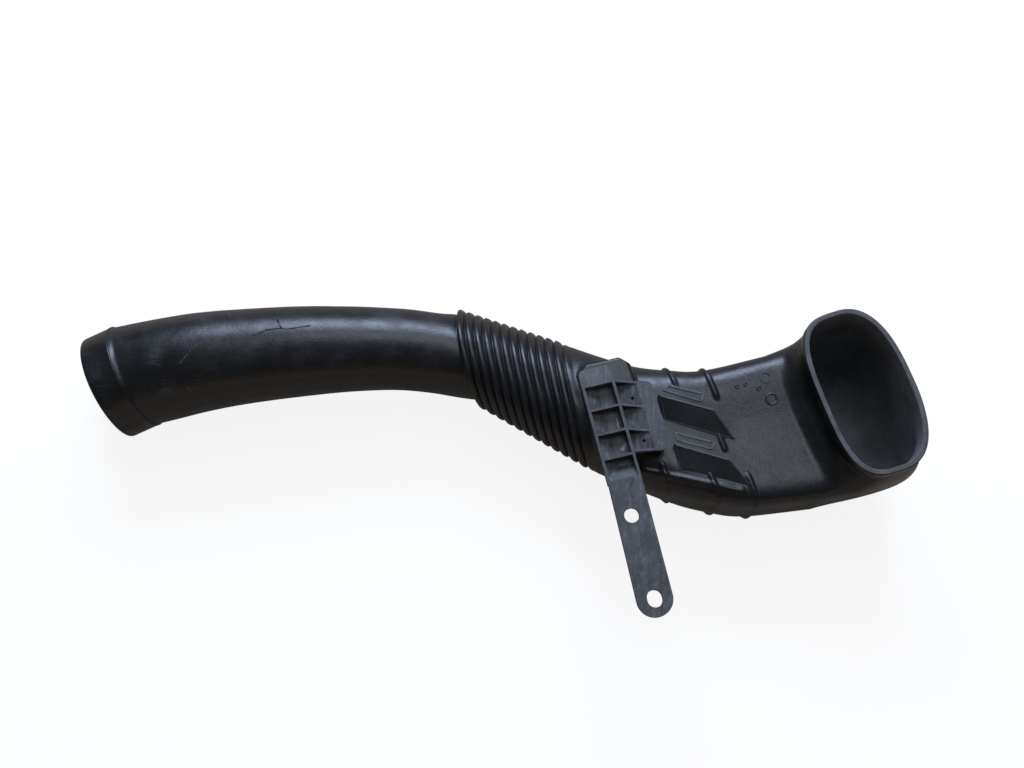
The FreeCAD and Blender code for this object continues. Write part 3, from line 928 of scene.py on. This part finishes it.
    def planned_rows(self) -> list[Row]:
        """Lists the rings in order; the last closes back to the first.

        Returns:
            The rings over the outside to the mouth, then those of the inside.
        """
        cuff, mouth, inside = self.cuff_end, self.mouth(), Zone.INSIDE
        tube_start = cuff.moved(self.cuff_length).resized(-self.cuff_step)
        tube_run = [tube_start, *self.tube, self.tube_end()]
        body_run = [self.body_start(), *self.body]
        tube_last, body_last = len(tube_run) - 1, len(body_run) - 1
        rows = rings(cuff, self.cuff_profile)
        for step in range(1, self.tube_steps):
            rows.append(Row(smooth_run(tube_run, tube_last * step / self.tube_steps)))
        rows += self.bellows(0.0, self.ridge_places, Zone.OUTSIDE)
        for start, end, count in self.body_stretches:
            for step in range(count):
                rows.append(self.body_row(smooth_run(body_run, start + (end - start) * step / count)))
        for step in range(self.elbow_steps + 1):
            rows.append(Row(self.elbow(RIGHT_ANGLE * step / self.elbow_steps)))
        rows += rings(mouth, self.collar_profile) + rings(mouth, self.lip_profile, Zone.LIP)
        rows += rings(mouth, self.throat_profile, inside)
        inner = []
        for step in range(self.inner_elbow_steps):
            inner.append(self.elbow(RIGHT_ANGLE - RIGHT_ANGLE * step / self.inner_elbow_steps))
        for step in range(self.inner_body_steps):
            inner.append(smooth_run(body_run, body_last - body_last * step / self.inner_body_steps))
        rows += [Row(station.resized(-self.wall), inside) for station in inner]
        rows += reversed(self.bellows(self.wall, self.inner_ridge_places, inside))
        for step in range(1, self.inner_tube_steps):
            place = tube_last * (1.0 - step / self.inner_tube_steps)
            rows.append(Row(smooth_run(tube_run, place).resized(-self.wall), inside))
        return rows + rings(cuff, self.bore_profile, inside)

    def turn_of(self, column: int) -> float:
        """Angle of a column round the section, crowded towards the top."""
        even = 2.0 * math.pi * column / self.columns
        return even + self.crowding * math.cos(even)

    def skin_point(self, row: Row, turn: float, axes: tuple[Vector, Vector, Vector]) -> Vector:
        """Point of the skin.

        Args:
            row: Its ring.
            turn: Its angle round the section.
            axes: The ring's directions.

        Returns:
            The point in millimetres.
        """
        station = row.station
        cosine, sine = math.cos(turn), math.sin(turn)
        inner_power = station.top_power if cosine >= 0.0 else station.near_power
        power = inner_power if sine >= 0.0 else station.bottom_power
        reach = (abs(cosine) ** power + abs(sine) ** power) ** (-1.0 / power)
        outward = axes[1] * (station.half_width * reach * cosine)
        outward += axes[2] * (station.half_height * reach * sine)
        point = Vector(station.at) + outward
        if station.hollow and sine > 0.0:
            rise = max(0.0, 1.0 - (reach * cosine / self.hollow_reach) ** 2)
            point -= axes[2] * station.hollow * rise**2
        if row.bead:
            point += outward.normalized() * row.bead * self.bead_share(row, reach * cosine, sine)
        if row.zone is Zone.OUTSIDE:
            wave = noise.noise(point * self.broad_wave)
            wave += self.fine_share * noise.noise(point * self.fine_wave)
            point -= outward.normalized() * self.waviness * (self.wave_rest + wave)
        if row.carries_relief and sine > 0.0:
            point.z += self.platform.lift(point) + sum(ledge.lift(point) for ledge in self.ledges)
        return point

    def build(self) -> Piece:
        """Skins the rings as one closed mesh.

        Returns:
            The duct's object.
        """
        rows = self.planned_rows()
        count = len(rows)
        skin = bmesh.new()
        bmesh.ops.create_grid(skin, x_segments=self.columns, y_segments=count, size=1.0)
        for face in skin.faces:
            number = int((face.calc_center_median().y + 1.0) * 0.5 * count)
            zones = (rows[number].zone, rows[(number + 1) % count].zone)
            face.material_index = Zone.LIP.value if Zone.LIP in zones else zones[0].value
            face.smooth = True
        axes = [row.station.directions() for row in rows]
        turns = [self.turn_of(column) for column in range(self.columns)]
        for vert in skin.verts:
            column = round((vert.co.x + 1.0) * 0.5 * self.columns) % self.columns
            number = round((vert.co.y + 1.0) * 0.5 * count) % count
            vert.co = placed(self.skin_point(rows[number], turns[column], axes[number]))
        bmesh.ops.remove_doubles(skin, verts=skin.verts, dist=self.weld)
        bmesh.ops.recalc_face_normals(skin, faces=skin.faces)
        return finished("duct_wall", skin)

    def dress(self, wall: Piece) -> None:
        """Gives the wall its three finishes and its place in the frame."""
        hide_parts("duct")
        settle(wall, "duct_plastic", BlownPlastic(), CutLip(), BlownInside())


@dataclass
class WedgePads:
    """Crisp wedge pads on the duct's back, each with a pale rim round its sloped top as a painted edge
    highlight.
    """

    pads: tuple[WedgePad, ...] = (
        WedgePad(
            ((104.0, -20.5), (143.0, -31.5), (158.0, -51.5), (147.0, -49.0), (108.0, -37.5)), 80.6, 72.6, 17.5
        ),
        WedgePad(
            ((114.0, -56.0), (152.0, -67.3), (171.0, -90.0), (161.0, -86.0), (118.0, -75.5)), 79.5, 73.0, 19.0
        ),
    )
    foot: float = 72.0
    rim_width: float = 1.2
    rim_drop: float = 0.42
    edge_radius: float = 0.3

    def build(self) -> Piece:
        """Models the pads as sloped blocks sunk into the skin.

        Returns:
            The pads' object.
        """
        blocks = bmesh.new()
        for pad in self.pads:
            made = bmesh.ops.create_circle(blocks, cap_ends=True, segments=len(pad.corners), radius=1.0)
            for vert, corner in zip(made["verts"], pad.corners):
                vert.co = (*corner, self.foot)
            verts, top = extruded(blocks, made["verts"][0].link_faces)
            for vert in verts:
                vert.co.z = pad.top(vert.co.x, vert.co.y)
            edges = [edge for face in top for edge in face.edges]
            inset = {"thickness": self.rim_width, "use_even_offset": True}
            # The inset rims take the second material, a painted edge highlight.
            for face in bmesh.ops.inset_individual(blocks, faces=top, **inset)["faces"]:
                face.material_index = RIM_MATERIAL
            for vert in verts:
                vert.co.z -= self.rim_drop
            round_edges(blocks, edges, self.edge_radius)
        bmesh.ops.recalc_face_normals(blocks, faces=blocks.faces)
        for vert in blocks.verts:
            vert.co = placed(vert.co)
        return finished("duct_wedge_pads", blocks)

    def dress(self, pads: Piece) -> None:
        """Gives the pads the duct's plastic, painted paler on their tops as painted light and paler still on
        the rims as a painted edge highlight, and their place.
        """
        settle(pads, "duct_plastic", PAINTED_LIGHTER_PAD_TOP, PAINTED_EDGE_HIGHLIGHT)


@dataclass
class MouldedMarks:
    """Bare raised frames and plain rings that the mould leaves on the duct's back."""

    frames: tuple[tuple[Plan, ...], ...] = (
        ((111.5, -10.8), (137.8, -17.8), (135.5, -24.5), (108.2, -15.8)),
        ((115.2, -46.0), (143.5, -53.3), (141.4, -59.4), (117.1, -52.9)),
    )
    rings: tuple[tuple[Plan, float], ...] = (
        ((182.1, -5.8), 4.4),
        ((185.5, -22.0), 4.6),
        ((161.2, -12.9), 1.5),
        ((167.3, -11.3), 1.5),
        ((176.9, -14.2), 1.8),
    )
    rim: float = 1.4
    height: float = 0.7
    sunk: float = 0.5
    edge_radius: float = 0.55
    side_steps: int = 8
    ring_steps: int = 36
    thin_share: float = 0.45
    sharp_turn: float = 1.0
    drop_height: float = 200.0

    def build(self, duct: Piece) -> Piece:
        """Models the marks and lays them on the duct's skin.

        Args:
            duct: The finished duct wall.

        Returns:
            The marks' object.
        """
        marks = bmesh.new()
        for corners in self.frames:
            self.add_frame(marks, corners)
        # Frame faces take the second material, a painted edge highlight.
        for face in marks.faces:
            face.material_index = RIM_MATERIAL
        for centre, radius in self.rings:
            self.add_ring(marks, centre, radius)
        self.lay(marks, duct)
        bmesh.ops.recalc_face_normals(marks, faces=marks.faces)
        return finished("duct_mould_marks", marks)

    def add_frame(self, marks: Mesh, corners: Sequence[Plan]) -> None:
        """Adds a four-sided raised rim.

        Args:
            marks: The mesh.
            corners: The rim's outer corners in millimetres, clockwise.
        """
        inner = []
        for before, corner, after in zip(corners[-1:] + corners[:-1], corners, corners[1:] + corners[:1]):
            sides = [Vector(corner) - Vector(before), Vector(after) - Vector(corner)]
            first, second = (Vector((side.y, -side.x)).normalized() for side in sides)
            inner.append(Vector(corner) + (first + second) * (self.rim / (1.0 + first.dot(second))))
        self.add_rim(marks, self.divided(corners), self.divided(inner))

    def divided(self, corners: Sequence[Sequence[float]]) -> list[Vector]:
        """Points along the sides of a closed outline.

        Args:
            corners: The outline's corners.

        Returns:
            The points in order, corners among them.
        """
        outline = [Vector(corner) for corner in corners]
        points = []
        for start, end in zip(outline, outline[1:] + outline[:1]):
            points += [start.lerp(end, step / self.side_steps) for step in range(self.side_steps)]
        return points

    def add_ring(self, marks: Mesh, centre: Plan, radius: float) -> None:
        """Adds a round raised rim.

        Args:
            marks: The mesh.
            centre: Its middle in millimetres.
            radius: Its outer radius in millimetres.
        """
        angles = [2.0 * math.pi * step / self.ring_steps for step in range(self.ring_steps)]
        ways = [Vector((math.cos(angle), math.sin(angle))) for angle in angles]
        reaches = (radius, radius - min(self.rim, radius * self.thin_share))
        loops = [[Vector(centre) + way * reach for way in ways] for reach in reaches]
        self.add_rim(marks, *loops)

    def add_rim(self, marks: Mesh, outer: Sequence[Vector], inner: Sequence[Vector]) -> None:
        """Adds a raised rim with rounded top edges between two outlines with as many points each.

        Args:
            marks: The mesh.
            outer: The outer outline.
            inner: The inner outline.
        """
        edges = set()
        for outline in (outer, inner):
            made = bmesh.ops.create_circle(marks, cap_ends=False, segments=len(outline), radius=1.0)["verts"]
            for vert, point in zip(made, outline):
                vert.co = (*point, 0.0)
            edges.update(edge for vert in made for edge in vert.link_edges)
        faces = bmesh.ops.bridge_loops(marks, edges=list(edges))["faces"]
        verts, top = extruded(marks, faces)
        for vert in verts:
            vert.co.z += self.sunk + self.height
        around = {edge for face in top for edge in face.edges}
        sharp = [edge for edge in around if edge.calc_face_angle(0.0) > self.sharp_turn]
        round_edges(marks, sharp, self.edge_radius)

    def lay(self, marks: Mesh, duct: Piece) -> None:
        """Drops the marks on the duct's skin.

        Args:
            marks: The mesh, flat and in millimetres.
            duct: The finished duct wall.
        """
        skin = bmesh.new()
        skin.from_mesh(duct.data)
        tree = BVHTree.FromBMesh(skin)
        for vert in marks.verts:
            above = placed((vert.co.x, vert.co.y, self.drop_height))
            hit = tree.ray_cast(above, Vector((0.0, 0.0, -1.0)))[0]
            hit.z += (vert.co.z - self.sunk) * MM
            vert.co = hit
        skin.free()
        for face in marks.faces:
            face.smooth = False

    def dress(self, marks: Piece) -> None:
        """Gives the marks the duct's finish, paler on the frames as a painted edge highlight, and their
        place.
        """
        settle(marks, "duct_plastic", BlownPlastic(), PAINTED_EDGE_HIGHLIGHT)


@dataclass
class MountingBracket:
    """The ribbed bracket, refined from its solid with rounded moulded edges."""

    node: str = "mounting_bracket"
    edge_radius: float = 0.45
    sharp_angle: float = 28.0
    flat_angle: float = 0.6
    weld: float = 1e-6

    def build(self) -> Piece:
        """Merges a copy of the solid's mesh and rounds its edges.

        Returns:
            The bracket's object.
        """
        mould = bmesh.new()
        mould.from_mesh(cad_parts[self.node].data)
        bmesh.ops.remove_doubles(mould, verts=mould.verts, dist=self.weld)
        flat = math.radians(self.flat_angle)
        bmesh.ops.dissolve_limit(mould, angle_limit=flat, verts=mould.verts, edges=mould.edges)
        sharp = [
            edge for edge in mould.edges
            if len(edge.link_faces) == 2 and edge.calc_face_angle() > math.radians(self.sharp_angle)
        ]
        round_edges(mould, sharp, self.edge_radius * MM)
        return finished("bracket_moulding", mould)

    def dress(self, bracket: Piece) -> None:
        """Gives the bracket its finish and place."""
        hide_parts(self.node)
        settle(bracket, "bracket_plastic", MouldedGrey())


def extruded(
    mesh: Mesh, faces: Iterable[bmesh.types.BMFace]
) -> tuple[list[bmesh.types.BMVert], list[bmesh.types.BMFace]]:
    """Extrudes faces on the spot.

    Args:
        mesh: The mesh.
        faces: Its faces to extrude.

    Returns:
        The new faces' points, and the faces.
    """
    items = bmesh.ops.extrude_face_region(mesh, geom=list(faces))["geom"]
    verts = [item for item in items if isinstance(item, bmesh.types.BMVert)]
    return verts, [item for item in items if isinstance(item, bmesh.types.BMFace)]


def round_edges(mesh: Mesh, edges: Iterable[bmesh.types.BMEdge], radius: float) -> None:
    """Rounds edges with a narrow bevel, its radius in the mesh's own unit."""
    bmesh.ops.bevel(
        mesh, geom=list(edges), offset=radius, offset_type="OFFSET", segments=2, profile=0.5,
        affect="EDGES", material=-1, clamp_overlap=True,
    )


def linked(name: str, data: bpy.types.ID) -> Piece:
    """Adds an object to the scene.

    Args:
        name: The object's name.
        data: Its mesh, light or camera.

    Returns:
        The object.
    """
    made = bpy.data.objects.new(name, data)
    bpy.context.scene.collection.objects.link(made)
    return made


def finished(name: str, mesh: Mesh) -> Piece:
    """Turns a bmesh into an object at the origin.

    Args:
        name: The object's name.
        mesh: Its shape; freed afterwards.

    Returns:
        The linked object.
    """
    data = bpy.data.meshes.new(name)
    mesh.to_mesh(data)
    mesh.free()
    LOG.info("%s: %d faces", name, len(data.polygons))
    return linked(name, data)


def settle(piece: Piece, slot: str, *finishes: Any) -> None:
    """Gives a piece its finishes and ties it to the part's one body.

    Args:
        piece: The piece.
        slot: Not used.
        finishes: Its finishes in order; one that is already built is used again.
    """
    for finish in finishes:
        piece.data.materials.append(bpy.data.materials.get(finish.name) or finish.material())
    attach(piece, "root")


# Studio


@dataclass(frozen=True)
class SoftLight:
    """A rectangular soft light that faces the part."""

    name: str
    at: Point
    size: Plan
    watts: float
    colour: Point
    aim: Point = (0.03, 0.0, 0.04)

    def build(self) -> None:
        """Adds the light."""
        lamp = bpy.data.lights.new(self.name, "AREA")
        lamp.shape = "RECTANGLE"
        lamp.size, lamp.size_y = self.size
        lamp.energy = self.watts
        lamp.color = self.colour
        made = linked(self.name, lamp)
        made.location = self.at
        facing = Vector(self.aim) - Vector(self.at)
        made.rotation_euler = facing.to_track_quat("-Z", "Y").to_euler()


@dataclass
class Studio:
    """Pale table, soft lights and the camera."""

    lights: tuple[SoftLight, ...] = (
        SoftLight("window", (-0.04, 1.75, 1.35), (1.5, 0.7), 48.0, (0.66, 0.77, 1.0)),
        SoftLight("ceiling", (0.25, 0.66, 2.05), (1.4, 0.6), 10.5, (0.8, 0.88, 1.0)),
        SoftLight("table_glow", (0.2, -1.5, 0.35), (2.4, 0.5), 1.5, (1.0, 0.74, 0.52)),
    )
    ambient: float = 0.08
    table_size: float = 6.0
    target: Point = (0.0144906, 0.0598718, 0.0400278)
    elevation: float = 73.0
    distance: float = 0.85
    lens: float = 39.843
    sensor: float = 36.0
    clip_start: float = 0.01

    def build(self) -> None:
        """Adds table, world, lights and camera."""
        table = bmesh.new()
        bmesh.ops.create_grid(table, x_segments=1, y_segments=1, size=self.table_size / 2.0)
        floor = finished("table", table)
        floor.data.materials.append(WhiteTable().material())
        world = bpy.data.worlds.new("studio")
        world.use_nodes = True
        background = world.node_tree.nodes["Background"]
        background.inputs["Color"].default_value = (1.0, 1.0, 1.0, 1.0)
        background.inputs["Strength"].default_value = self.ambient
        scene = bpy.context.scene
        scene.world = world
        for light in self.lights:
            light.build()
        data = bpy.data.cameras.new("photo_camera")
        data.sensor_fit = "HORIZONTAL"
        data.sensor_width = self.sensor
        data.lens = self.lens
        data.clip_start = self.clip_start
        camera = linked("photo_camera", data)
        rise = math.radians(self.elevation)
        back = Vector((0.0, -math.cos(rise), math.sin(rise)))
        camera.location = Vector(self.target) + back * self.distance
        camera.rotation_euler = (math.radians(RIGHT_ANGLE - self.elevation), 0.0, 0.0)
        scene.camera = camera
        scene.view_settings.view_transform = "Standard"


def main() -> None:
    """Builds and dresses the part in its studio."""
    logging.basicConfig(level=logging.INFO, format="%(message)s")
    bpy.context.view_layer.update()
    duct = Duct()
    wall = duct.build()
    duct.dress(wall)
    pads = WedgePads()
    pads.dress(pads.build())
    marks = MouldedMarks()
    marks.dress(marks.build(wall))
    bracket = MountingBracket()
    bracket.dress(bracket.build())
    Studio().build()


if __name__ == "__main__":
    main()
